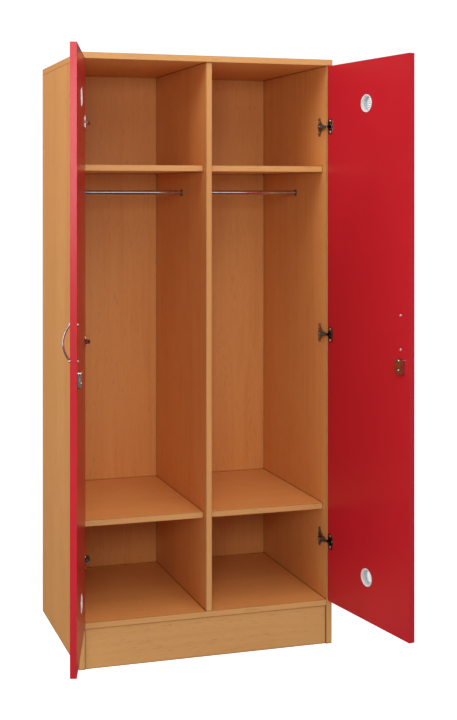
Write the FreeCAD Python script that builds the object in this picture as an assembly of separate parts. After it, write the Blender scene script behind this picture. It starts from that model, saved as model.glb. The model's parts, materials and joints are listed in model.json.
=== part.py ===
import FreeCAD, Part
import math
import os

from FreeCAD import Rotation, Vector

# Double cloakroom locker: an 18 mm board carcass with two compartments and two overlay doors.
# Millimetres.  +Z is up and the doors are on the -Y side.
# The origin is on the floor at the centre of the carcass footprint.

# ---- carcass ----
WIDTH = 800.0
DEPTH = 530.0
HEIGHT = 1800.0
BOARD = 18.0
TOP_NOSE = 6.0               # how far the top panel stands in front of the side panels
FLOOR_TOP = 136.0            # upper face of the floor panel
PLINTH_RECESS = 4.0
PLINTH_END_GAP = 0.8
BACK_THICKNESS = 8.0
BACK_INSET = 10.0            # rear edge of the sides to the rear face of the back panel
GROOVE_DEPTH = 6.0
UPPER_SHELF_TOP = 1473.0
UPPER_SHELF_SETBACK = 27.0
LOWER_SHELF_TOP = 428.0
LOWER_SHELF_SETBACK = 25.0

# ---- hanging rails ----
RAIL_RADIUS = 7.5
RAIL_WALL = 1.0
RAIL_SETBACK = 237.0
RAIL_Z = 1391.0
SOCKET_RADIUS = 10.5
SOCKET_COLLAR = 8.8
SOCKET_PLATE = 1.6
SOCKET_LENGTH = 6.0
SOCKET_CLEARANCE = 0.05

# ---- dowels ----
DOWEL_RADIUS = 4.0
DOWEL_LENGTH = 30.0
DOWEL_IN_FACE = 8.0

# ---- doors ----
DOOR_BOTTOM = 135.0
DOOR_TOP = 1780.0
DOOR_WIDTH = 397.5
DOOR_GAP = 2.0               # carcass front plane to the inner face of a closed door
DOOR_REVEAL = 1.0            # side panel's outer face to the hinge edge of a closed door
LEFT_OPENING = 106.7         # degrees open in the stored pose
RIGHT_OPENING = 99.5

# ---- concealed hinges: distances from the side panel's outer front edge ----
HINGE_Z = (320.0, 955.0, 1594.0)
PIVOT_X = 6.5
PIVOT_Y = -11.0
CUP_X = 16.0
CUP_HOLE_RADIUS = 13.0
CUP_HOLE_DEPTH = 14.0
CUP_OUTER_RADIUS = 12.9
CUP_INNER_RADIUS = 12.0
CUP_FLOOR = 0.8
CUP_FLANGE = (23.0, 1.3, 47.0)
CUP_CORNER = 8.0             # radius of the flange's corners
CUP_NOTCH = (8.0, 5.0)       # hinge edge of the cup's notch to its centre, and the notch's depth
CUP_NOTCH_PLAY = 1.2
CUP_SCREW_SPACING = 34.0
CUP_SCREW_HEAD = (3.4, 0.6)
CUP_SCREW_HOLE = 1.8
CUP_SCREW_SHANK = 1.7
PIN_RADIUS = 1.0
PIN_HALF_LENGTH = 8.0
PIN_CLEARANCE = 0.05
KNUCKLE_RADIUS = 1.8
PLATE_LINE = 46.0            # front edge of the side panel to the plate's screw line
PLATE_SCREW_SPACING = 32.0
PLATE_WING = (3.4, 10.0, 57.0)
PLATE_SHOULDER = 20.0        # half height of the web where it meets the cross bar
PLATE_TONGUE = (9.0, 5.6)    # front end of the plate and its half height there
SADDLE_TOP = 30.5
SADDLE_HALF_HEIGHT = 3.8
ARM_TOP = 34.5
ARM_FRONT = 7.0
ARM_REAR = 27.0
ARM_SHEET = 1.3
CHEEK_SHEET = 1.2
CHEEK_FOOT = 24.0            # lower edge of the arm's cheeks
ARM_SCREW_Y = (13.0, 21.5)
ARM_SCREW_TIP = 20.0
ARM_HALF_HEIGHT = 5.2
ARM_TIP_HALF_HEIGHT = 4.0
NECK_X = 22.5                # outer side of the goose neck inside the cup
NECK_TOP = -2.0

# ---- vents ----
VENT_OFFSET = 127.5          # vent centre to the door's top or bottom edge
VENT_RADIUS = 26.2
VENT_SLEEVE_OUTER = 23.8
VENT_SLEEVE_INNER = 22.8
VENT_HOLE = 24.0
VENT_FLANGE = 1.6
SLAT_COUNT = 7
SLAT_PITCH = 5.6
SLAT_SIZE = (1.3, 5.0)
SLAT_TILT = 17.0

# ---- handle ----
HANDLE_S = 359.5             # hinge edge of the door to the handle's line
HANDLE_Z = 997.0
HANDLE_CENTRES = 96.0
HANDLE_REACH = 20.0          # door's outer face to the bar's centre line at the middle
HANDLE_OVERRUN = 1.5         # how far the bow's circle is carried past the door's face
HANDLE_SPREAD = 2.0          # and past the screws there
HANDLE_BAR_RADIUS = 2.7
HANDLE_BOSS_RADIUS = 3.4
HANDLE_BOSS_HEIGHT = 3.0
HANDLE_THREAD = 4.6
HANDLE_SCREW_HEAD = (3.6, 2.2)
HANDLE_SCREW_SHANK = 2.0
HANDLE_SCREW_HOLE = 2.2

# ---- lock ----
LOCK_S = 360.0
LOCK_Z = 905.0
LOCK_CASE = (33.0, 9.0)      # width and thickness
LOCK_CASE_LOW = 880.0
LOCK_CASE_HIGH = 922.0
LOCK_WALL = 1.0
LOCK_SCREW_Z = (891.0, 918.0)
LOCK_SCREW_HEAD = (3.3, 2.2)
LOCK_SCREW_SHANK = 1.75
LOCK_SCREW_HOLE = 1.85
DOOR_SCREW_TIP = -13.0       # how deep the cup and lock screws reach into the door
PLUG_RADIUS = 7.5
PLUG_CLEARANCE = 0.08
PLUG_STAND = 1.2             # how far the plug stands out of the door's outer face
PLUG_INNER = 1.6             # and past its inner face, where the crank starts
KEYWAY = (0.8, 3.8, 9.0)     # half width, half height and depth
BARREL_RADIUS = 9.4
BARREL_HOLE = 9.5
BARREL_INNER = 0.6
ROSETTE_RADIUS = 12.5
ROSETTE_THICKNESS = 1.5
ROSETTE_CLEARANCE = 0.05
CRANK_RADIUS = 9.0
CRANK_INNER = 3.0
CRANK_HALF_HEIGHT = 2.2
CRANK_HUB_RADIUS = 5.0
PEG_RADIUS = 1.5
PEG_INNER = 7.7
BOLT_THROW = 18.0
BOLT_START = 345.0
BOLT_END = 376.3
BOLT_HALF_HEIGHT = 8.0
BOLT_INNER = 4.6             # door's inner face to the bolt
BOLT_OUTER = 8.0

HALF = WIDTH / 2
FRONT = -DEPTH / 2
REAR = DEPTH / 2
BACK_FACE = REAR - BACK_INSET - BACK_THICKNESS
INNER = HALF - BOARD
FLOOR_UNDER = FLOOR_TOP - BOARD
TOP_UNDER = HEIGHT - BOARD
X_AXIS = Vector(1, 0, 0)
Y_AXIS = Vector(0, 1, 0)
Z_AXIS = Vector(0, 0, 1)

nodes = {}


def block(x0, x1, y0, y1, z0, z1):
    """Box between two corners."""
    return Part.makeBox(x1 - x0, y1 - y0, z1 - z0, Vector(x0, y0, z0))


def rod(radius, start, end):
    """Solid cylinder from one point to another."""
    start = Vector(*start)
    axis = Vector(*end) - start
    return Part.makeCylinder(radius, axis.Length, start, axis)


def tube(outer, inner, start, end):
    """Hollow cylinder from one point to another."""
    return rod(outer, start, end).cut(rod(inner, start, end))


def prism(points, z0, z1):
    """Closed outline in the XY plane raised from z0 to z1."""
    outline = [Vector(x, y, z0) for x, y in points]
    face = Part.Face(Part.makePolygon(outline + outline[:1]))
    return face.extrude(Vector(0, 0, z1 - z0))


def round_edges(shape, axis, radius):
    """Round the straight edges that run along one axis."""
    edges = []
    for edge in shape.Edges:
        run = edge.Vertexes[-1].Point - edge.Vertexes[0].Point
        if run.Length > 0 and abs(abs(run.normalize().dot(axis)) - 1) < 1e-6:
            edges.append(edge)
    return shape.makeFillet(radius, edges)


def pan_screw(head_radius, head_height, shank_radius, seat, tip):
    """Screw with a low pan head: seat is under the head and tip is the shank's end."""
    seat = Vector(*seat)
    tip = Vector(*tip)
    outward = (seat - tip).normalize()
    head = Part.makeCone(head_radius, head_radius * 0.72, head_height, seat, outward)
    shank = Part.makeCylinder(shank_radius, (tip - seat).Length, tip, outward)
    recess_seat = seat + outward * (head_height - 1.0)
    side = outward.cross(Z_AXIS)
    slots = []
    for a, b in ((side, Z_AXIS), (Z_AXIS, side)):
        half_a = a * (head_radius * 0.5)
        half_b = b * (head_radius * 0.12)
        corners = [
            recess_seat - half_a - half_b,
            recess_seat + half_a - half_b,
            recess_seat + half_a + half_b,
            recess_seat - half_a + half_b,
        ]
        face = Part.Face(Part.makePolygon(corners + corners[:1]))
        slots.append(face.extrude(outward * 2.0))
    return head.fuse(shank).cut(slots[0].fuse(slots[1])).removeSplitter()


def mirrored(shape):
    """Mirror image of a left-hand piece, for the right-hand side."""
    return shape.mirror(Vector(0, 0, 0), X_AXIS)


def merge(shapes):
    """Several separate solids kept together as one group."""
    return Part.makeCompound(shapes)


# ---- carcass boards, each with its dowel holes ----
boards = {
    "left_side_panel": block(-HALF, -INNER, FRONT, REAR, 0, TOP_UNDER),
    "right_side_panel": block(INNER, HALF, FRONT, REAR, 0, TOP_UNDER),
    "top_panel": block(-HALF, HALF, FRONT - TOP_NOSE, REAR, TOP_UNDER, HEIGHT),
    "floor_panel": block(-INNER, INNER, FRONT, BACK_FACE, FLOOR_UNDER, FLOOR_TOP),
    "centre_divider": block(-BOARD / 2, BOARD / 2, FRONT, BACK_FACE, FLOOR_TOP, TOP_UNDER),
    "plinth_board": block(
        -INNER + PLINTH_END_GAP, INNER - PLINTH_END_GAP,
        FRONT + PLINTH_RECESS, FRONT + PLINTH_RECESS + BOARD, 0, FLOOR_UNDER,
    ),
    "rear_plinth_rail": block(-INNER, INNER, BACK_FACE - BOARD, BACK_FACE, 0, FLOOR_UNDER),
    "centre_plinth_support": block(
        -BOARD / 2, BOARD / 2,
        FRONT + PLINTH_RECESS + BOARD, BACK_FACE - BOARD, 0, FLOOR_UNDER,
    ),
}
for side_name, low, high in (("left", -INNER, -BOARD / 2), ("right", BOARD / 2, INNER)):
    for level, top, setback in (
        ("upper", UPPER_SHELF_TOP, UPPER_SHELF_SETBACK),
        ("lower", LOWER_SHELF_TOP, LOWER_SHELF_SETBACK),
    ):
        boards[f"{side_name}_{level}_shelf"] = block(
            low, high, FRONT + setback, BACK_FACE, top - BOARD, top
        )

back_low = FLOOR_UNDER - GROOVE_DEPTH
nodes["back_panel"] = block(
    -INNER - GROOVE_DEPTH, INNER + GROOVE_DEPTH,
    BACK_FACE, BACK_FACE + BACK_THICKNESS, back_low, TOP_UNDER + GROOVE_DEPTH,
)
for name in ("left_side_panel", "right_side_panel", "top_panel"):
    boards[name] = boards[name].cut(nodes["back_panel"])

# Dowels: each starts in the face of one board and ends in the edge of the next.
dowels = []
DOWEL_ROWS = (-200.0, 0.0, 190.0)


def add_dowel(face_point, direction, face_board, edge_board):
    """Dowel across the joint at face_point, pointing into the edge board."""
    start = Vector(*face_point) - direction * DOWEL_IN_FACE
    dowel = Part.makeCylinder(DOWEL_RADIUS, DOWEL_LENGTH, start, direction)
    dowels.append(dowel)
    boards[face_board] = boards[face_board].cut(dowel)
    boards[edge_board] = boards[edge_board].cut(dowel)


for sign, side_name in ((-1, "left"), (1, "right")):
    inward = Vector(-sign, 0, 0)
    side_board = f"{side_name}_side_panel"
    for y in DOWEL_ROWS:
        add_dowel((sign * (HALF - BOARD / 2), y, TOP_UNDER), -Z_AXIS, "top_panel", side_board)
        add_dowel((sign * INNER, y, FLOOR_TOP - BOARD / 2), inward, side_board, "floor_panel")
    for level, top in (("upper", UPPER_SHELF_TOP), ("lower", LOWER_SHELF_TOP)):
        shelf = f"{side_name}_{level}_shelf"
        for y in (-200.0, 190.0):
            z = top - BOARD / 2
            add_dowel((sign * INNER, y, z), inward, side_board, shelf)
            add_dowel((sign * BOARD / 2, y, z), -inward, "centre_divider", shelf)
    rear_y = BACK_FACE - BOARD / 2
    add_dowel((sign * INNER, rear_y, FLOOR_UNDER / 2), inward, side_board, "rear_plinth_rail")
for y in DOWEL_ROWS:
    add_dowel((0, y, TOP_UNDER), -Z_AXIS, "top_panel", "centre_divider")
    add_dowel((0, y, FLOOR_TOP), Z_AXIS, "floor_panel", "centre_divider")
for x in (-250.0, 250.0):
    plinth_y = FRONT + PLINTH_RECESS + BOARD / 2
    add_dowel((x, plinth_y, FLOOR_UNDER), -Z_AXIS, "floor_panel", "plinth_board")
for y in (-150.0, 150.0):
    add_dowel((0, y, FLOOR_UNDER), -Z_AXIS, "floor_panel", "centre_plinth_support")
nodes["carcass_dowels"] = merge(dowels)

# Pockets in the divider that take the two lock bolts.
for sign in (-1, 1):
    pocket_x = sorted((sign * BOARD / 2, sign * (BOARD / 2 - 5.5)))
    boards["centre_divider"] = boards["centre_divider"].cut(
        block(
            pocket_x[0], pocket_x[1],
            FRONT - DOOR_GAP + BOLT_INNER - 0.4, FRONT - DOOR_GAP + BOLT_OUTER + 0.4,
            LOCK_Z - BOLT_HALF_HEIGHT - 0.5, LOCK_Z + BOLT_HALF_HEIGHT + 0.5,
        )
    )

# ---- hanging rails and their end sockets ----
rail_y = FRONT + RAIL_SETBACK
sockets = []
for side_name, sign in (("left", -1), ("right", 1)):
    ends = sorted((sign * BOARD / 2, sign * INNER))
    inset = SOCKET_PLATE
    nodes[f"{side_name}_hanging_rail"] = tube(
        RAIL_RADIUS, RAIL_RADIUS - RAIL_WALL,
        (ends[0] + inset, rail_y, RAIL_Z), (ends[1] - inset, rail_y, RAIL_Z),
    )
    for wall, direction in ((ends[0], 1), (ends[1], -1)):
        seat = (wall, rail_y, RAIL_Z)
        plate_end = (wall + direction * SOCKET_PLATE, rail_y, RAIL_Z)
        collar_end = (wall + direction * SOCKET_LENGTH, rail_y, RAIL_Z)
        plate = rod(SOCKET_RADIUS, seat, plate_end)
        collar = tube(SOCKET_COLLAR, RAIL_RADIUS + SOCKET_CLEARANCE, plate_end, collar_end)
        sockets.append(plate.fuse(collar).removeSplitter())
nodes["rail_end_sockets"] = merge(sockets)


# ---- concealed hinges, drawn for the left side panel ----
# Here X runs inwards from the panel's outer face and Y backwards from its front edge.
def hinge_plate():
    """Mounting plate: a screwed cross bar, tapering forwards to the saddle under the arm."""
    thickness, bar_width, bar_height = PLATE_WING
    bar_front = PLATE_LINE - bar_width / 2
    bar = block(
        BOARD, BOARD + thickness,
        bar_front, bar_front + bar_width, -bar_height / 2, bar_height / 2,
    )
    bar = round_edges(bar, X_AXIS, bar_width / 2 - 0.5)
    tongue_front, tongue_half = PLATE_TONGUE
    tongue_rear = ARM_REAR - 3.0
    outline = [
        (bar_front + 1, -PLATE_SHOULDER), (bar_front + 1, PLATE_SHOULDER),
        (tongue_rear, tongue_half), (tongue_front, tongue_half),
        (tongue_front, -tongue_half), (tongue_rear, -tongue_half),
    ]
    corners = [Vector(BOARD, y, z) for y, z in outline]
    web = Part.Face(Part.makePolygon(corners + corners[:1])).extrude(X_AXIS * thickness)
    saddle = block(
        BOARD, SADDLE_TOP, tongue_front, ARM_REAR - 1.0, -SADDLE_HALF_HEIGHT, SADDLE_HALF_HEIGHT
    )
    plate = bar.fuse([web, saddle]).removeSplitter()
    for z in (-PLATE_SCREW_SPACING / 2, PLATE_SCREW_SPACING / 2):
        plate = plate.cut(rod(2.3, (BOARD - 1, PLATE_LINE, z), (BOARD + 9, PLATE_LINE, z)))
    for y in ARM_SCREW_Y:
        plate = plate.cut(rod(2.05, (ARM_SCREW_TIP - 0.5, y, 0), (SADDLE_TOP + 1, y, 0)))
    return plate


def hinge_arm():
    """Cranked arm: a channel over the saddle, a goose neck and a knuckle on the pin."""
    tip = PIVOT_Y - KNUCKLE_RADIUS
    under = ARM_TOP - ARM_SHEET
    neck_inner = NECK_X - ARM_SHEET
    spine = prism(
        [
            (PIVOT_X, tip), (NECK_X, tip), (NECK_X, NECK_TOP),
            (ARM_TOP, ARM_FRONT), (ARM_TOP, ARM_REAR), (under, ARM_REAR),
            (under, ARM_FRONT + 0.6), (neck_inner, NECK_TOP + 0.6),
            (neck_inner, tip + ARM_SHEET), (PIVOT_X, tip + ARM_SHEET),
        ],
        -ARM_HALF_HEIGHT, ARM_HALF_HEIGHT,
    )
    cheek_outline = [
        (under + 0.5, ARM_FRONT), (under + 0.5, ARM_REAR), (CHEEK_FOOT, ARM_REAR),
        (CHEEK_FOOT, ARM_FRONT + 5.0), (under - 4.0, ARM_FRONT - 2.0),
    ]
    low_cheek = prism(cheek_outline, -ARM_HALF_HEIGHT, -ARM_HALF_HEIGHT + CHEEK_SHEET)
    high_cheek = prism(cheek_outline, ARM_HALF_HEIGHT - CHEEK_SHEET, ARM_HALF_HEIGHT)
    arm = spine.fuse([low_cheek, high_cheek])
    for low, high in ((-10, -ARM_TIP_HALF_HEIGHT), (ARM_TIP_HALF_HEIGHT, 10)):
        arm = arm.cut(block(0, 26, -20, -1.5, low, high))
    knuckle = rod(
        KNUCKLE_RADIUS,
        (PIVOT_X, PIVOT_Y, -ARM_TIP_HALF_HEIGHT), (PIVOT_X, PIVOT_Y, ARM_TIP_HALF_HEIGHT),
    )
    arm = arm.fuse(knuckle).removeSplitter()
    arm = arm.cut(rod(PIN_RADIUS + PIN_CLEARANCE, (PIVOT_X, PIVOT_Y, -6), (PIVOT_X, PIVOT_Y, 6)))
    for y in ARM_SCREW_Y:
        arm = arm.cut(rod(2.15, (under - 2, y, 0), (ARM_TOP + 1, y, 0)))
    return arm


def hinge_cup():
    """Pressed cup with its flange and riveted pin, as it sits in the closed door."""
    inner_face = -DOOR_GAP
    bottom = inner_face - CUP_HOLE_DEPTH + 0.1
    width, thickness, tall = CUP_FLANGE
    flange = block(
        CUP_X - width / 2, CUP_X + width / 2,
        inner_face, inner_face + thickness, -tall / 2, tall / 2,
    )
    flange = round_edges(flange, Y_AXIS, CUP_CORNER)
    body = rod(CUP_OUTER_RADIUS, (CUP_X, bottom, 0), (CUP_X, inner_face, 0))
    cup = flange.fuse(body).removeSplitter()
    cup = cup.cut(rod(CUP_INNER_RADIUS, (CUP_X, bottom + CUP_FLOOR, 0), (CUP_X, 5, 0)))
    notch_end, notch_depth = CUP_NOTCH
    notch_half = ARM_TIP_HALF_HEIGHT + CUP_NOTCH_PLAY
    cup = cup.cut(
        block(0, CUP_X - notch_end, inner_face - notch_depth, 5, -notch_half, notch_half)
    )
    pin = rod(
        PIN_RADIUS, (PIVOT_X, PIVOT_Y, -PIN_HALF_LENGTH), (PIVOT_X, PIVOT_Y, PIN_HALF_LENGTH)
    )
    cup = cup.fuse(pin.common(body)).removeSplitter()
    for z in (-CUP_SCREW_SPACING / 2, CUP_SCREW_SPACING / 2):
        cup = cup.cut(rod(CUP_SCREW_HOLE, (CUP_X, inner_face - 1, z), (CUP_X, 5, z)))
    return cup


plate_shape = hinge_plate()
arm_shape = hinge_arm()
cup_shape = hinge_cup()
plate_screws = []
for sign, side_name in ((-1, "left"), (1, "right")):
    for level, z in zip(("lower", "middle", "upper"), HINGE_Z):
        place = Vector(-HALF, FRONT, z)
        pieces = {"plate": plate_shape.copy(), "arm": arm_shape.copy()}
        screws = []
        for dz in (-PLATE_SCREW_SPACING / 2, PLATE_SCREW_SPACING / 2):
            seat = (BOARD + PLATE_WING[0], PLATE_LINE, dz)
            screws.append(pan_screw(3.6, 1.8, 2.0, seat, (BOARD - 11.0, PLATE_LINE, dz)))
        for y in ARM_SCREW_Y:
            screws.append(pan_screw(3.4, 1.8, 1.95, (ARM_TOP, y, 0), (ARM_SCREW_TIP, y, 0)))
        shapes = list(pieces.values()) + screws
        for shape in shapes:
            shape.translate(place)
        if sign > 0:
            shapes = [mirrored(shape) for shape in shapes]
        nodes[f"{side_name}_{level}_hinge_plate"] = shapes[0]
        nodes[f"{side_name}_{level}_hinge_arm"] = shapes[1]
        plate_screws.extend(shapes[2:])
        side_board = f"{side_name}_side_panel"
        for screw in shapes[2:4]:
            boards[side_board] = boards[side_board].cut(screw)
nodes["hinge_plate_screws"] = merge(plate_screws)
nodes.update(boards)


# ---- doors, drawn closed on the left: X from the hinge edge, Y = 0 on the inner face ----
DOOR_ORIGIN = Vector(-HALF + DOOR_REVEAL, FRONT - DOOR_GAP, 0)


def vent_louvre(x, z):
    """Front half of a vent: flange on the door's face, sleeve and sloping slats."""
    face = -BOARD
    flange = tube(
        VENT_RADIUS, VENT_SLEEVE_INNER, (x, face - VENT_FLANGE, z), (x, face, z)
    )
    sleeve = tube(
        VENT_SLEEVE_OUTER, VENT_SLEEVE_INNER, (x, face - VENT_FLANGE, z), (x, -6.0, z)
    )
    bore = rod(VENT_SLEEVE_INNER + 0.4, (x, face - VENT_FLANGE, z), (x, -6.0, z))
    vent = flange.fuse(sleeve)
    thickness, run = SLAT_SIZE
    for index in range(SLAT_COUNT):
        height = z + (index - (SLAT_COUNT - 1) / 2) * SLAT_PITCH
        slat = block(x - 30, x + 30, -run / 2, run / 2, -thickness / 2, thickness / 2)
        slat.rotate(Vector(0, 0, 0), X_AXIS, SLAT_TILT)
        slat.translate(Vector(0, face + 2.6, height))
        vent = vent.fuse(slat.common(bore))
    return vent.removeSplitter()


def vent_ring(x, z):
    """Rear half of a vent: thin flange on the inner face with a short collar."""
    flange = tube(VENT_RADIUS, VENT_SLEEVE_INNER, (x, 0, z), (x, VENT_FLANGE, z))
    collar = tube(VENT_SLEEVE_OUTER, VENT_SLEEVE_INNER, (x, -5.8, z), (x, VENT_FLANGE, z))
    return round_ring(flange.fuse(collar).removeSplitter(), VENT_FLANGE)


def round_ring(shape, level):
    """Round the outer rim of a ring at one Y level."""
    rims = []
    for edge in shape.Edges:
        box = edge.BoundBox
        if abs(box.YMin - level) < 1e-6 and abs(box.YMax - level) < 1e-6:
            if box.ZLength > 2 * VENT_RADIUS - 0.1:
                rims.append(edge)
    return shape.makeFillet(0.8, rims)


def handle():
    """Bow handle: a bent round bar that runs into the door over two small screw bosses."""
    half = HANDLE_CENTRES / 2
    face = -BOARD
    levels = (HANDLE_Z - half, HANDLE_Z + half)
    ends = [
        Vector(HANDLE_S, face + HANDLE_OVERRUN, z)
        for z in (levels[0] - HANDLE_SPREAD, levels[1] + HANDLE_SPREAD)
    ]
    arc = Part.Arc(ends[0], Vector(HANDLE_S, face - HANDLE_REACH, HANDLE_Z), ends[1])
    spine = Part.Wire([arc.toShape()])
    tangent = arc.tangent(arc.FirstParameter)[0]
    profile = Part.Wire([Part.Circle(ends[0], tangent, HANDLE_BAR_RADIUS).toShape()])
    bow = spine.makePipeShell([profile], True, False)
    boss_top = face - HANDLE_BOSS_HEIGHT
    for z in levels:
        dome = Part.makeSphere(HANDLE_BOSS_RADIUS, Vector(HANDLE_S, boss_top, z))
        post = rod(HANDLE_BOSS_RADIUS, (HANDLE_S, face, z), (HANDLE_S, boss_top, z))
        bow = bow.fuse([dome, post])
    door_side = block(
        HANDLE_S - 10, HANDLE_S + 10, face, face + 10, levels[0] - 10, levels[1] + 10
    )
    bow = bow.removeSplitter().cut(door_side)
    for z in levels:
        bow = bow.cut(rod(2.05, (HANDLE_S, face + 1, z), (HANDLE_S, face - HANDLE_THREAD, z)))
    return bow


def lock_case():
    """Lock case with its barrel through the door, and the rosette pressed on the front."""
    width, thickness = LOCK_CASE
    low = LOCK_S - width / 2
    high = LOCK_S + width / 2
    case = block(low, high, 0, thickness, LOCK_CASE_LOW, LOCK_CASE_HIGH)
    case = round_edges(case, Y_AXIS, 2.5)
    hollow = block(
        low + LOCK_WALL, high - LOCK_WALL, 1.2, thickness - 0.8,
        LOCK_CASE_LOW + LOCK_WALL, LOCK_CASE_HIGH - LOCK_WALL,
    )
    window = block(
        high - 2, high + 2, BOLT_INNER - 0.15, BOLT_OUTER + 0.15,
        LOCK_Z - BOLT_HALF_HEIGHT - 0.2, LOCK_Z + BOLT_HALF_HEIGHT + 0.2,
    )
    case = case.cut([hollow, window])
    rosette_face = -BOARD - ROSETTE_THICKNESS
    barrel = rod(BARREL_RADIUS, (LOCK_S, rosette_face, LOCK_Z), (LOCK_S, BARREL_INNER, LOCK_Z))
    bore = rod(PLUG_RADIUS + PLUG_CLEARANCE, (LOCK_S, -30, LOCK_Z), (LOCK_S, 2, LOCK_Z))
    case = case.fuse(barrel).cut(bore)
    for z in LOCK_SCREW_Z:
        case = case.cut(rod(LOCK_SCREW_HOLE, (LOCK_S, -1, z), (LOCK_S, thickness + 1, z)))
    rosette = tube(
        ROSETTE_RADIUS, BARREL_RADIUS + ROSETTE_CLEARANCE,
        (LOCK_S, rosette_face, LOCK_Z), (LOCK_S, -BOARD, LOCK_Z),
    )
    return merge([case.removeSplitter(), rosette])


def lock_plug():
    """Key plug with its keyway, and the crank and peg that work the bolt."""
    half_width, half_height, key_depth = KEYWAY
    plug = rod(PLUG_RADIUS, (LOCK_S, -BOARD - PLUG_STAND, LOCK_Z), (LOCK_S, PLUG_INNER, LOCK_Z))
    keyway = block(
        LOCK_S - half_width, LOCK_S + half_width, -BOARD - 2, -BOARD + key_depth,
        LOCK_Z - half_height, LOCK_Z + half_height,
    )
    peg_s = LOCK_S - CRANK_RADIUS
    web = block(
        peg_s, LOCK_S, PLUG_INNER, CRANK_INNER,
        LOCK_Z - CRANK_HALF_HEIGHT, LOCK_Z + CRANK_HALF_HEIGHT,
    )
    hub = rod(CRANK_HUB_RADIUS, (LOCK_S, PLUG_INNER, LOCK_Z), (LOCK_S, CRANK_INNER, LOCK_Z))
    tip = rod(CRANK_HALF_HEIGHT, (peg_s, PLUG_INNER, LOCK_Z), (peg_s, CRANK_INNER, LOCK_Z))
    peg = rod(PEG_RADIUS, (peg_s, CRANK_INNER - 1.0, LOCK_Z), (peg_s, PEG_INNER, LOCK_Z))
    return plug.cut(keyway).fuse([web, hub, tip, peg]).removeSplitter()


def lock_bolt():
    """Flat sliding bolt with the open notch in which the crank's peg runs."""
    bolt = block(
        BOLT_START, BOLT_END, BOLT_INNER, BOLT_OUTER,
        LOCK_Z - BOLT_HALF_HEIGHT, LOCK_Z + BOLT_HALF_HEIGHT,
    )
    peg_s = LOCK_S - CRANK_RADIUS
    notch = block(peg_s - 3.7, peg_s + 3.7, 0, 12, LOCK_Z - 20, LOCK_Z + 2.2)
    return bolt.cut(notch)


def door_pieces():
    """Every piece of one door in its closed place, and the plain holes it needs."""
    pieces = {}
    panel = block(0, DOOR_WIDTH, -BOARD, 0, DOOR_BOTTOM, DOOR_TOP)
    for level, z in (("lower", DOOR_BOTTOM + VENT_OFFSET), ("upper", DOOR_TOP - VENT_OFFSET)):
        x = DOOR_WIDTH / 2
        panel = panel.cut(rod(VENT_HOLE, (x, -BOARD - 1, z), (x, 1, z)))
        pieces[f"{level}_vent_louvre"] = vent_louvre(x, z)
        pieces[f"{level}_vent_ring"] = vent_ring(x, z)
    cup_x = CUP_X - DOOR_REVEAL
    cup_screws = []
    for level, z in zip(("lower", "middle", "upper"), HINGE_Z):
        cup = cup_shape.copy()
        cup.translate(Vector(-DOOR_REVEAL, DOOR_GAP, z))
        pieces[f"{level}_hinge_cup"] = cup
        panel = panel.cut(rod(CUP_HOLE_RADIUS, (cup_x, -CUP_HOLE_DEPTH, z), (cup_x, 1, z)))
        for dz in (-CUP_SCREW_SPACING / 2, CUP_SCREW_SPACING / 2):
            seat = (cup_x, CUP_FLANGE[1], z + dz)
            tip = (cup_x, DOOR_SCREW_TIP, z + dz)
            screw = pan_screw(*CUP_SCREW_HEAD, CUP_SCREW_SHANK, seat, tip)
            cup_screws.append(screw)
            panel = panel.cut(screw)
    pieces["cup_screws"] = merge(cup_screws)
    handle_screws = []
    for z in (HANDLE_Z - HANDLE_CENTRES / 2, HANDLE_Z + HANDLE_CENTRES / 2):
        seat = (HANDLE_S, 0, z)
        tip = (HANDLE_S, -BOARD - HANDLE_THREAD + 0.4, z)
        handle_screws.append(pan_screw(*HANDLE_SCREW_HEAD, HANDLE_SCREW_SHANK, seat, tip))
        panel = panel.cut(rod(HANDLE_SCREW_HOLE, (HANDLE_S, -BOARD - 1, z), (HANDLE_S, 1, z)))
    pieces["handle_screws"] = merge(handle_screws)
    pieces["handle"] = handle()
    lock_screws = []
    for z in LOCK_SCREW_Z:
        seat = (LOCK_S, LOCK_CASE[1], z)
        screw = pan_screw(*LOCK_SCREW_HEAD, LOCK_SCREW_SHANK, seat, (LOCK_S, DOOR_SCREW_TIP, z))
        lock_screws.append(screw)
        panel = panel.cut(screw)
    pieces["lock_screws"] = merge(lock_screws)
    panel = panel.cut(rod(BARREL_HOLE, (LOCK_S, -BOARD - 1, LOCK_Z), (LOCK_S, 1, LOCK_Z)))
    pieces["lock_case"] = lock_case()
    pieces["lock_plug"] = lock_plug()
    pieces["lock_bolt"] = lock_bolt()
    pieces["door_panel"] = panel
    return pieces


door_kit = door_pieces()
for name, shape in door_kit.items():
    closed = shape.copy()
    closed.translate(DOOR_ORIGIN)
    pivot = Vector(-HALF + PIVOT_X, FRONT + PIVOT_Y, 0)
    left = closed.copy()
    left.rotate(pivot, Z_AXIS, -LEFT_OPENING)
    right = mirrored(closed)
    right.rotate(Vector(-pivot.x, pivot.y, 0), Z_AXIS, RIGHT_OPENING)
    nodes[f"left_{name}"] = left
    nodes[f"right_{name}"] = right

os.makedirs("parts", exist_ok=True)
for name, shape in sorted(nodes.items()):
    shape.exportStep(f"parts/{name}.step")
    print(f"{name}: {len(shape.Solids)} solid(s), {shape.Volume / 1000:.1f} cm3, valid {shape.isValid()}")
print(len(nodes), "nodes")
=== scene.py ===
"""Looks of a two-bay school locker: beech-faced boards, red doors, plated fittings and white vents."""

import json
import math

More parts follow.
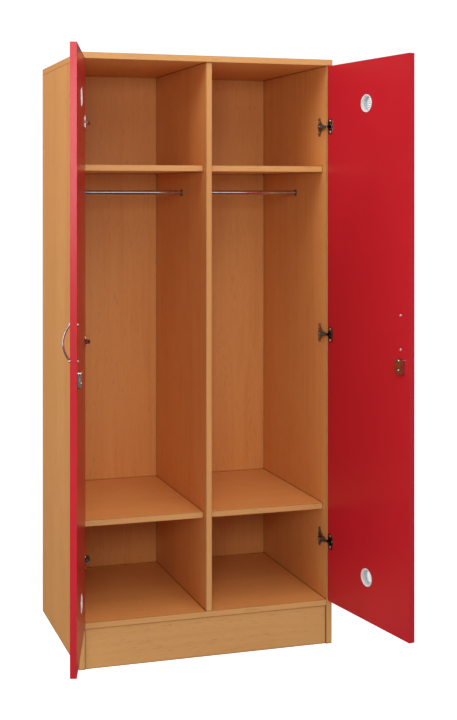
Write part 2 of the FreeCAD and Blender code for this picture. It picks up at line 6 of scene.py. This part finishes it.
import bpy
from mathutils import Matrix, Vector


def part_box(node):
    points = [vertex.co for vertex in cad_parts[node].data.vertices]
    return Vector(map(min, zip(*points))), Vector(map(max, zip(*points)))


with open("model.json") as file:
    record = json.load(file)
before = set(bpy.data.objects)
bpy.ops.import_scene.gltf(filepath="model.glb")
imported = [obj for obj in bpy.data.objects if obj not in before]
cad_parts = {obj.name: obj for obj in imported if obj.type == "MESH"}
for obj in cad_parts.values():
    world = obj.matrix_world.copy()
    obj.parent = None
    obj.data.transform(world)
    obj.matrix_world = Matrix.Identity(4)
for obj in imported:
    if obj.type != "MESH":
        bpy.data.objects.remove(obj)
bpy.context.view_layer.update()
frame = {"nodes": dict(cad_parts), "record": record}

# ---------------------------------------------------------------- node graphs

MM = 0.001
X_AXIS, Z_AXIS = 0, 2


class Nodes:
    """A node tree, with the calls that the finishes and the backdrop share."""

    def __init__(self, tree):
        self.tree = tree

    def add(self, kind, **settings):
        node = self.tree.nodes.new(kind)
        for key, value in settings.items():
            setattr(node, key, value)
        return node

    def feed(self, socket, value):
        """Links value into socket if it is an output, or else sets it there."""
        if isinstance(value, bpy.types.NodeSocket):
            self.tree.links.new(value, socket)
        elif value is not None:
            socket.default_value = value

    def split(self, vector):
        """The X, Y and Z outputs of a vector."""
        node = self.add("ShaderNodeSeparateXYZ")
        self.feed(node.inputs[0], vector)
        return node.outputs

    def span(self, value, low, high, to_low=0.0, to_high=1.0, ramp="SMOOTHSTEP"):
        """Value between low and high, brought to between to_low and to_high along a ramp."""
        node = self.add("ShaderNodeMapRange", interpolation_type=ramp)
        for index, number in enumerate((value, low, high, to_low, to_high)):
            self.feed(node.inputs[index], number)
        return node.outputs[0]


class Finish(Nodes):
    """One material, with short calls for the nodes that the finishes share."""

    def __init__(self, name):
        self.material = bpy.data.materials.new(name)
        self.material.use_nodes = True
        super().__init__(self.material.node_tree)
        self.tree.nodes.clear()
        output = self.add("ShaderNodeOutputMaterial")
        self.shader = self.add("ShaderNodeBsdfPrincipled")
        self.feed(output.inputs["Surface"], self.shader.outputs["BSDF"])
        coordinates = self.add("ShaderNodeTexCoord")
        self.place = coordinates.outputs["Object"]
        self.normal = coordinates.outputs["Normal"]

    def set(self, **values):
        """Feeds the shader's sockets, named in lower case with underscores."""
        for key, value in values.items():
            name = key.replace("_", " ").title().replace("Ior", "IOR")
            self.feed(self.shader.inputs[name], value)

    def math(self, operation, first, second=None, clamp=False):
        node = self.add("ShaderNodeMath", operation=operation, use_clamp=clamp)
        self.feed(node.inputs[0], first)
        self.feed(node.inputs[1], second)
        return node.outputs[0]

    def blend(self, amount, first, second, blend_type="MIX"):
        """A mix of two colours. The node's colour sockets are inputs 6 and 7 and output 2."""
        node = self.add("ShaderNodeMix", data_type="RGBA", blend_type=blend_type)
        self.feed(node.inputs[0], amount)
        self.feed(node.inputs[6], first)
        self.feed(node.inputs[7], second)
        return node.outputs[2]

    def stretched(self, rates, offset=(0.0, 0.0, 0.0), source=None):
        """Object coordinates, or source, moved by offset and then scaled by one rate or by three."""
        moved = self.add("ShaderNodeVectorMath", operation="ADD")
        self.feed(moved.inputs[0], source or self.place)
        moved.inputs[1].default_value = offset
        scaled = self.add("ShaderNodeVectorMath", operation="MULTIPLY")
        self.feed(scaled.inputs[0], moved.outputs[0])
        scaled.inputs[1].default_value = rates if isinstance(rates, tuple) else (rates,) * 3
        return scaled.outputs[0]

    def noise(self, vector, detail=2.0, roughness=0.5, distortion=0.0):
        """Noise with cells one unit long in vector, so a rate is the number of cells to the metre."""
        node = self.add("ShaderNodeTexNoise")
        self.feed(node.inputs["Vector"], vector)
        node.inputs["Scale"].default_value = 1.0
        node.inputs["Detail"].default_value = detail
        node.inputs["Roughness"].default_value = roughness
        node.inputs["Distortion"].default_value = distortion
        return node.outputs["Fac"]

    def bump(self, height, distance, strength):
        node = self.add("ShaderNodeBump")
        node.inputs["Strength"].default_value = strength
        node.inputs["Distance"].default_value = distance
        self.feed(node.inputs["Height"], height)
        return node.outputs["Normal"]

    def edges(self, radius):
        """About 0 on flat faces, rising towards 1 within radius of a sharp edge."""
        rounded = self.add("ShaderNodeBevel", samples=4)
        rounded.inputs["Radius"].default_value = radius
        geometry = self.add("ShaderNodeNewGeometry")
        dot = self.add("ShaderNodeVectorMath", operation="DOT_PRODUCT")
        self.feed(dot.inputs[0], rounded.outputs["Normal"])
        self.feed(dot.inputs[1], geometry.outputs["True Normal"])
        return self.span(dot.outputs["Value"], 0.70, 0.995, 1.0, 0.0)

    def joints(self, reach):
        """1 in the open, falling to 0 within reach of another surface."""
        near = self.add("ShaderNodeAmbientOcclusion", samples=4)
        near.inputs["Distance"].default_value = reach
        return self.span(near.outputs["AO"], 0.35, 0.92)

    def darken(self, face, openness, painted_shade):
        """Face where openness is 1, darkened towards face times the given colour where it is 0: painted
        shade.
        """
        shaded_face = self.blend(1.0, face, painted_shade, "MULTIPLY")
        return self.blend(openness, shaded_face, face)


def colour(red, green, blue):
    return (red, green, blue, 1.0)


# -------------------------------------------------------------------- finishes

BEECH = colour(0.765, 0.340, 0.098)
BEECH_LIGHT = colour(0.785, 0.362, 0.111)
BEECH_DARK = colour(0.705, 0.296, 0.080)
BEECH_FLECK = colour(0.44, 0.160, 0.042)
BEECH_PAINTED_SHADE = colour(0.22, 0.15, 0.11)
GLUE_LINE = colour(0.30, 0.11, 0.035)
GLUE_WIDTH = 2.4 * MM
GLUE_DEPTH = 0.68
EDGING = colour(0.90, 1.01, 1.13)
SWAY = 45.0 * MM


def glue_lines(g, box):
    """1 on the arrises of a board that fills box, falling to 0 at the width of a glue line."""
    low, high = box
    place = g.split(g.place)
    facing = g.split(g.normal)
    line = 0.0
    for axis in range(3):
        from_low = g.span(place[axis], low[axis], low[axis] + GLUE_WIDTH, 1.0, 0.0)
        from_high = g.span(place[axis], high[axis] - GLUE_WIDTH, high[axis])
        beside = g.math("SUBTRACT", 1.0, g.math("ABSOLUTE", facing[axis]), clamp=True)
        near = g.math("MULTIPLY", g.math("MAXIMUM", from_low, from_high), beside)
        line = g.math("MAXIMUM", line, near)
    return line


def beech(name, box, grain, seed, edged):
    """Beech print on melamine: soft streaks, a faint figure and short flecks along the grain axis.

    The arrises of its box have dark glue lines. An edged board is a little cooler in colour at the front.
    """
    g = Finish(name)
    offset = (seed * 1.37, seed * 2.11, seed * 0.73)

    def along(across_rate, grain_rate):
        rates = [across_rate] * 3
        rates[grain] = grain_rate
        return tuple(rates)

    # the streaks wander sideways, so their source is moved across the grain
    sway = g.math("MULTIPLY", g.noise(g.stretched(along(3.0, 1.3), offset), detail=1.0), SWAY)
    shift = g.add("ShaderNodeCombineXYZ")
    for axis in range(3):
        if axis != grain:
            g.feed(shift.inputs[axis], sway)
    bent = g.add("ShaderNodeVectorMath", operation="ADD")
    g.feed(bent.inputs[0], g.place)
    g.feed(bent.inputs[1], shift.outputs[0])
    source = bent.outputs[0]

    bands = g.noise(g.stretched(along(9.0, 0.45), offset, source), detail=3.0, roughness=0.55)
    streaks = g.noise(g.stretched(along(70.0, 1.6), offset, source), detail=3.0, roughness=0.6)
    lines = g.noise(g.stretched(along(620.0, 9.0), offset, source), detail=2.0, roughness=0.6)
    flecks = g.noise(g.stretched(along(460.0, 30.0), offset, source), detail=1.0, roughness=0.5)
    clusters = g.noise(g.stretched(along(34.0, 5.0), offset), detail=2.0)

    # upright grain shows its streaks and lines more than level grain does
    least_plain, most_light, most_lined = (0.0, 1.0, 0.50) if grain == Z_AXIS else (0.5, 0.5, 0.22)
    tone = g.math("ADD", g.math("MULTIPLY", bands, 0.55), g.math("MULTIPLY", streaks, 0.45))
    face = g.blend(g.span(tone, 0.34, 0.52, least_plain), BEECH_DARK, BEECH)
    face = g.blend(g.span(tone, 0.50, 0.66, 0.0, most_light), face, BEECH_LIGHT)
    face = g.blend(g.span(lines, 0.40, 0.75, 0.0, most_lined), face, BEECH_DARK)
    fleck = g.math("MULTIPLY", g.span(flecks, 0.58, 0.72), g.span(clusters, 0.35, 0.65, 0.10, 0.45))
    face = g.blend(fleck, face, BEECH_FLECK)
    if edged:
        front = g.span(g.split(g.normal)["Y"], -0.9, -0.6, 1.0, 0.0)
        face = g.blend(front, face, g.blend(1.0, face, EDGING, "MULTIPLY"))
    face = g.blend(g.math("MULTIPLY", glue_lines(g, box), GLUE_DEPTH), face, GLUE_LINE)
    # painted shade: within 5 mm of another surface the face darkens and its specular level drops
    open_face = g.joints(reach=5.0 * MM)
    face = g.darken(face, open_face, BEECH_PAINTED_SHADE)

    cloud = g.noise(g.stretched(11.0, offset), detail=4.0, roughness=0.6)
    grit = g.noise(g.stretched(1400.0, offset), detail=2.0)
    roughness = g.math("ADD", g.span(cloud, 0.3, 0.7, 0.42, 0.52), g.math("MULTIPLY", lines, 0.05))
    height = g.math("ADD", g.math("MULTIPLY", grit, 0.4), g.math("MULTIPLY", fleck, -0.8))
    g.set(
        base_color=face,
        roughness=roughness,
        specular_ior_level=g.math("MULTIPLY", open_face, 0.4),
        normal=g.bump(height, distance=0.05 * MM, strength=0.5),
    )
    return g.material


RED = colour(0.565, 0.0145, 0.0255)
RED_DEEP = colour(0.515, 0.0120, 0.0215)
RED_PAINTED_HIGHLIGHT = colour(0.60, 0.016, 0.022)
RED_PAINTED_SHADE = colour(0.55, 0.50, 0.50)


def red_laminate(name, seed):
    """Satin red laminate with a fine pearl texture and faint handling marks, a painted highlight along
    its arrises and painted shade where it meets other surfaces.
    """
    g = Finish(name)
    offset = (seed * 1.9, seed * 0.7, seed * 1.3)
    cloud = g.noise(g.stretched((2.2, 2.2, 1.4), offset), detail=3.0, roughness=0.55)
    marks = g.noise(g.stretched((26.0, 26.0, 9.0), offset), detail=5.0, roughness=0.65, distortion=0.8)
    pearl = g.noise(g.stretched(900.0, offset), detail=2.0, roughness=0.6)
    face = g.blend(g.span(cloud, 0.35, 0.65), RED, RED_DEEP)
    # painted highlight: the arrises are blended towards a lighter red
    face = g.blend(g.math("MULTIPLY", g.edges(radius=1.2 * MM), 0.45), face, RED_PAINTED_HIGHLIGHT)
    # painted shade: within 6 mm of another surface the face darkens
    face = g.darken(face, g.joints(reach=6.0 * MM), RED_PAINTED_SHADE)
    roughness = g.math("ADD", g.span(marks, 0.30, 0.75, 0.26, 0.30), g.math("MULTIPLY", pearl, 0.05))
    height = g.math("ADD", g.math("MULTIPLY", pearl, 1.0), g.math("MULTIPLY", marks, 0.1))
    g.set(
        base_color=face,
        roughness=roughness,
        specular_ior_level=0.38,
        normal=g.bump(height, distance=0.03 * MM, strength=0.3),
    )
    return g.material


# cells to the metre across the rubbed lines, along them, and in the speckle between them
RUB_RATE = 2340.0
RUB_LENGTH_RATE = 65.0
SPECKLE_RATE = 1560.0


def metal(name, bright, dull, smooth, rough, brush=None):
    """Plated metal whose tone drifts from bright to dull and whose roughness drifts from smooth to rough.

    Fine rubbed lines run along the axis brush. Without it the metal has an even grain.
    """
    g = Finish(name)
    drift = g.noise(g.stretched(90.0), detail=4.0, roughness=0.6)
    rates = [RUB_RATE] * 3
    if brush is not None:
        rates[brush] = RUB_LENGTH_RATE
    lines = g.noise(g.stretched(tuple(rates)), detail=2.0, roughness=0.6)
    speckle = g.noise(g.stretched(SPECKLE_RATE), detail=2.0)
    face = g.blend(g.span(drift, 0.35, 0.68), bright, dull)
    # painted highlight: the arrises are blended towards the bright tone
    face = g.blend(g.math("MULTIPLY", g.edges(radius=0.35 * MM), 0.35), face, bright)
    roughness = g.math("ADD", g.span(drift, 0.3, 0.7, smooth, rough), g.math("MULTIPLY", lines, 0.06))
    height = g.math("ADD", g.math("MULTIPLY", lines, 0.6), g.math("MULTIPLY", speckle, 0.4))
    rubbed = g.bump(height, distance=0.012 * MM, strength=0.4)
    g.set(base_color=face, metallic=1.0, roughness=roughness, normal=rubbed)
    return g.material


# colours that the vent plastics darken towards in their hollows: painted shade
WHITE_PAINTED_SHADE = colour(0.50, 0.51, 0.51)
LOUVRE_PAINTED_SHADE = colour(0.78, 0.78, 0.78)


def moulded(name, face_colour, shade, painted_shade):
    """Moulded plastic with a fine spark-eroded texture, a painted highlight on its arrises and painted
    shade in its hollows.
    """
    g = Finish(name)
    cloud = g.noise(g.stretched(60.0), detail=3.0)
    grain = g.noise(g.stretched(1500.0), detail=2.0)
    face = g.blend(g.span(cloud, 0.35, 0.7), face_colour, shade)
    # painted highlight: the arrises are blended towards the lighter tone
    face = g.blend(g.math("MULTIPLY", g.edges(radius=0.5 * MM), 0.4), face, face_colour)
    # painted shade: within 16 mm of another surface the face darkens
    face = g.darken(face, g.joints(reach=16.0 * MM), painted_shade)
    roughness = g.math("ADD", g.span(cloud, 0.3, 0.7, 0.32, 0.42), g.math("MULTIPLY", grain, 0.05))
    eroded = g.bump(grain, distance=0.03 * MM, strength=0.35)
    g.set(base_color=face, roughness=roughness, normal=eroded, ior=1.49)
    return g.material


def bare_dowel(name):
    """Bare beech with its fibres along X."""
    g = Finish(name)
    fibres = g.noise(g.stretched((90.0, 900.0, 900.0)), detail=3.0)
    face = g.blend(g.span(fibres, 0.3, 0.7), colour(0.50, 0.30, 0.14), colour(0.68, 0.46, 0.25))
    roughness = g.span(fibres, 0.2, 0.8, 0.55, 0.75)
    fibrous = g.bump(fibres, distance=0.1 * MM, strength=0.6)
    g.set(base_color=face, roughness=roughness, normal=fibrous)
    return g.material


# ------------------------------------------------------------- giving finishes

# name, bright, dull, smooth, rough, brush
chrome = metal("chrome", colour(0.92, 0.92, 0.93), colour(0.84, 0.84, 0.86), 0.04, 0.10, X_AXIS)
# the rails get a darker copy of the chrome: painted shade for the dim compartments they hang in
rail_chrome_painted_shade = metal("rail_chrome_painted_shade", colour(0.66, 0.66, 0.68), colour(0.56, 0.56, 0.58), 0.03, 0.08, X_AXIS)
nickel = metal("nickel", colour(0.44, 0.40, 0.37), colour(0.25, 0.22, 0.20), 0.06, 0.15, Z_AXIS)
# a darker, rougher copy of the nickel for the rail sockets and hinge plate screws: painted shade
nickel_painted_shade = metal("nickel_painted_shade", colour(0.36, 0.33, 0.31), colour(0.26, 0.23, 0.21), 0.26, 0.38, Z_AXIS)
# a whiter, rougher copy of the screw steel for the cup and handle screws: a painted highlight
screw_painted_highlight = metal("screw_painted_highlight", colour(0.98, 0.98, 0.97), colour(0.90, 0.90, 0.89), 0.46, 0.56)
screw_steel = metal("screw_steel", colour(0.82, 0.82, 0.81), colour(0.62, 0.61, 0.60), 0.12, 0.24)
bolt_steel = metal("bolt_steel", colour(0.60, 0.59, 0.57), colour(0.46, 0.45, 0.43), 0.20, 0.32, X_AXIS)
zinc = metal("lock_zinc", colour(0.64, 0.61, 0.57), colour(0.50, 0.47, 0.43), 0.12, 0.22, Z_AXIS)
brass = metal("plug_brass", colour(0.78, 0.60, 0.27), colour(0.62, 0.45, 0.18), 0.14, 0.26)
white_plastic = moulded("vent_white", colour(0.90, 0.91, 0.91), colour(0.82, 0.83, 0.83), WHITE_PAINTED_SHADE)
# the louvre gets a greyer copy of the white vent plastic: painted shade for the inside of the vent
vent_plastic_painted_shade = moulded("vent_painted_shade", colour(0.78, 0.83, 0.83), colour(0.72, 0.77, 0.77), LOUVRE_PAINTED_SHADE)
dowel_wood = bare_dowel("dowel_beech")

BY_SLOT = {
    "chrome": chrome,
    "nickel": nickel,
    "screw_steel": screw_steel,
    "steel": bolt_steel,
    "lock_case": zinc,
    "brass": brass,
    "white_plastic": white_plastic,
    "dowel_wood": dowel_wood,
}
BOARD_SLOTS = ("beech_board", "back_board")
UPRIGHT_BOARDS = ("side_panel", "centre_divider", "back_panel")
PAINTED_SHADE_PIECES = ("rail_end_sockets", "hinge_plate_screws")
PAINTED_HIGHLIGHT_PIECES = ("cup_screws", "handle_screws")

slot_of = {part["node"]: part["material_slot"] for part in frame["record"]["subparts"]}


def finish_for(name, seed):
    """The material of a piece, chosen by its name if that is one of a few, or else by its slot."""
    slot = slot_of[name]
    if name in PAINTED_SHADE_PIECES:
        return nickel_painted_shade
    if name.endswith("hanging_rail"):
        return rail_chrome_painted_shade
    if name.endswith(PAINTED_HIGHLIGHT_PIECES):
        return screw_painted_highlight
    if name.endswith("vent_louvre"):
        return vent_plastic_painted_shade
    if slot in BOARD_SLOTS:
        grain = Z_AXIS if name.endswith(UPRIGHT_BOARDS) else X_AXIS
        return beech("beech_" + name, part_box(name), grain, seed, edged=slot == "beech_board")
    if slot == "red_board":
        return red_laminate("red_" + name, seed)
    return BY_SLOT[slot]


for seed, (name, obj) in enumerate(sorted(frame["nodes"].items()), start=1):
    obj.data.materials.clear()
    obj.data.materials.append(finish_for(name, seed))

# --------------------------------------------------------------- rounded edges

WELD_REACH = 0.002 * MM
ARRIS_ANGLE = math.radians(40)
BOARD_ARRIS = 0.5 * MM
FITTING_ARRIS = 0.15 * MM
FITTINGS = ("screws", "hinge", "lock", "handle", "vent", "rail_end", "hanging_rail", "dowels")


def round_edges(obj, width):
    """Joins the split edges, rounds the arrises and evens the shading. The mesh itself is left alone."""
    weld = obj.modifiers.new("weld", "WELD")
    weld.merge_threshold = WELD_REACH
    bevel = obj.modifiers.new("arris", "BEVEL")
    bevel.width = width
    bevel.segments = 2
    bevel.limit_method = "ANGLE"
    bevel.angle_limit = ARRIS_ANGLE
    bevel.use_clamp_overlap = True
    even = obj.modifiers.new("even", "WEIGHTED_NORMAL")
    even.keep_sharp = False
    even.weight = 60


for name, obj in frame["nodes"].items():
    is_fitting = any(word in name for word in FITTINGS)
    round_edges(obj, FITTING_ARRIS if is_fitting else BOARD_ARRIS)

# -------------------------------------------------------------- studio, camera

FLOOR_HALF = 30.0
FLOOR_GLOW = 0.62


def studio_floor():
    """A very large pale floor, level with the feet of the side panels.

    It glows a little, so that it stays white, but neither lights the locker nor shows in its reflections.
    """
    half = FLOOR_HALF
    mesh = bpy.data.meshes.new("studio_floor")
    corners = [(-half, -half, 0), (half, -half, 0), (half, half, 0), (-half, half, 0)]
    mesh.from_pydata(corners, [], [(0, 1, 2, 3)])
    floor = bpy.data.objects.new("studio_floor", mesh)
    bpy.context.scene.collection.objects.link(floor)
    g = Finish("studio_floor")
    cloud = g.noise(g.stretched(1.5), detail=2.0)
    g.set(
        base_color=g.blend(cloud, colour(0.93, 0.93, 0.93), colour(0.95, 0.95, 0.95)),
        roughness=0.7,
        emission_color=colour(1.0, 1.0, 1.0),
        emission_strength=FLOOR_GLOW,
    )
    mesh.materials.append(g.material)
    floor.visible_diffuse = False
    floor.visible_glossy = False


def area_light(name, place, aim, width, height, power):
    data = bpy.data.lights.new(name, "AREA")
    data.shape = "RECTANGLE"
    data.size, data.size_y = width, height
    data.energy = power
    lamp = bpy.data.objects.new(name, data)
    lamp.location = place
    lamp.rotation_euler = (Vector(aim) - Vector(place)).to_track_quat("-Z", "Y").to_euler()
    bpy.context.scene.collection.objects.link(lamp)


def studio_world():
    """A white backdrop to look at, a graded room light, and a darker graded room for reflections."""
    world = bpy.data.worlds.new("studio")
    world.use_nodes = True
    g = Nodes(world.node_tree)
    rays = g.add("ShaderNodeLightPath").outputs
    height = g.split(g.add("ShaderNodeTexCoord").outputs["Generated"])["Z"]

    def graded(ground, wall, ceiling):
        low = g.span(height, -0.35, 0.10, ground, wall, "LINEAR")
        return g.span(height, 0.15, 0.75, low, ceiling, "LINEAR")

    unseen = g.span(rays["Is Glossy Ray"], 0.0, 1.0, graded(*AMBIENT), graded(*ROOM), "LINEAR")
    level = g.span(rays["Is Camera Ray"], 0.0, 1.0, unseen, BACKDROP, "LINEAR")
    background = g.tree.nodes["Background"]
    g.feed(background.inputs["Color"], colour(1.0, 1.0, 1.0))
    g.feed(background.inputs["Strength"], level)
    bpy.context.scene.world = world


CAMERA_PLACE = (-1.2117, -3.7190, 1.3860)
CAMERA_TURN = (math.radians(90), 0, math.radians(-15.759))
CAMERA_LENS = 60.92
CAMERA_SHIFT = (0.1326, -0.2303)
CAMERA_SENSOR = 36.0
CAMERA_REACH = 200.0


def camera():
    """A level camera to the left of the locker, at about chest height."""
    data = bpy.data.cameras.new("camera")
    data.sensor_width = CAMERA_SENSOR
    data.lens = CAMERA_LENS
    data.shift_x, data.shift_y = CAMERA_SHIFT
    data.clip_end = CAMERA_REACH
    obj = bpy.data.objects.new("camera", data)
    obj.location = CAMERA_PLACE
    obj.rotation_euler = CAMERA_TURN
    bpy.context.scene.collection.objects.link(obj)
    bpy.context.scene.camera = obj


# name, place, aim, width and height in metres, power in watts
LAMPS = (
    ("key", (-1.30, -3.95, 1.88), (0.0, 0.0, 0.9), 0.9, 0.6, 28.0),
    ("strip", (-1.66, -3.60, 1.36), (-0.5, -0.6, 1.37), 0.3, 0.35, 6.0),
    ("left_high", (-2.6, -1.0, 3.2), (-0.4, 0.0, 1.2), 1.6, 1.6, 37.0),
    ("left_low", (-3.2, -1.4, 1.2), (-0.4, 0.0, 0.9), 1.6, 1.6, 16.0),
    ("top_near", (0.0, -1.2, 3.4), (0.0, -0.4, 0.0), 2.4, 1.6, 22.0),
    ("top_far", (0.0, -3.4, 3.3), (0.0, 0.0, 0.6), 2.4, 1.4, 22.0),
    ("right", (1.3, -4.2, 2.1), (0.0, 0.0, 0.9), 1.2, 1.2, 7.5),
)
# brightness towards the ground, the walls and the ceiling: as light, and in reflections
AMBIENT = (0.80, 0.04, 0.62)
ROOM = (0.05, 0.18, 0.55)
# brightness behind the locker, as the camera sees it
BACKDROP = 1.05

studio_floor()
studio_world()
for lamp in LAMPS:
    area_light(*lamp)
bpy.context.scene.view_settings.view_transform = "Standard"
camera()
